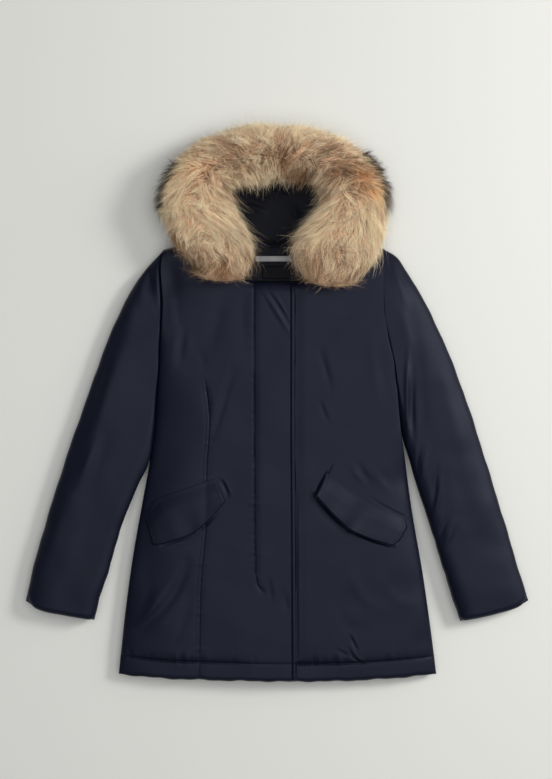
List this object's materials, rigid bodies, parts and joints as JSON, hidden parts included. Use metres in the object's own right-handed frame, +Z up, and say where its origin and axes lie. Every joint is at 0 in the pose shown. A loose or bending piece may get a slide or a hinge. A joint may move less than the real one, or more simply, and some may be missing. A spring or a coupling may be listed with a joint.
{
  "type": "fur trimmed parka",
  "caption": "Padded thigh-length hooded parka laid flat, with a long fur ruff round the hood opening, a concealed lapped front, slanted pocket flaps and plain sleeves.",
  "frame": {"origin": "middle of the coat's bounding box, on the surface that it lies on", "axes": "+Z up from the surface, +Y from the hem towards the hood, +X towards the wearer's left sleeve"},
  "size_m": [0.9246, 1.0181, 0.1043],
  "materials": {
    "navy_cloth": "matt, fine weave",
    "navy_lining": "smooth, dull",
    "label_cloth": "woven, bare",
    "grey_tape": "woven tape",
    "tan_fur": "long tipped hair"
  },
  "bodies": {
    "root": {"back": "navy_cloth", "right_front": "navy_cloth", "left_front": "navy_cloth", "right_upper_sleeve": "navy_cloth", "right_under_sleeve": "navy_cloth", "left_upper_sleeve": "navy_cloth", "left_under_sleeve": "navy_cloth", "right_pocket_flap": "navy_cloth", "left_pocket_flap": "navy_cloth", "hood_shell": "navy_cloth", "hood_lining": "navy_lining", "neck_facing": "navy_lining", "neck_label": "label_cloth", "hanger_loop": "grey_tape", "fur_ruff": "tan_fur"}
  },
  "joints": []
}
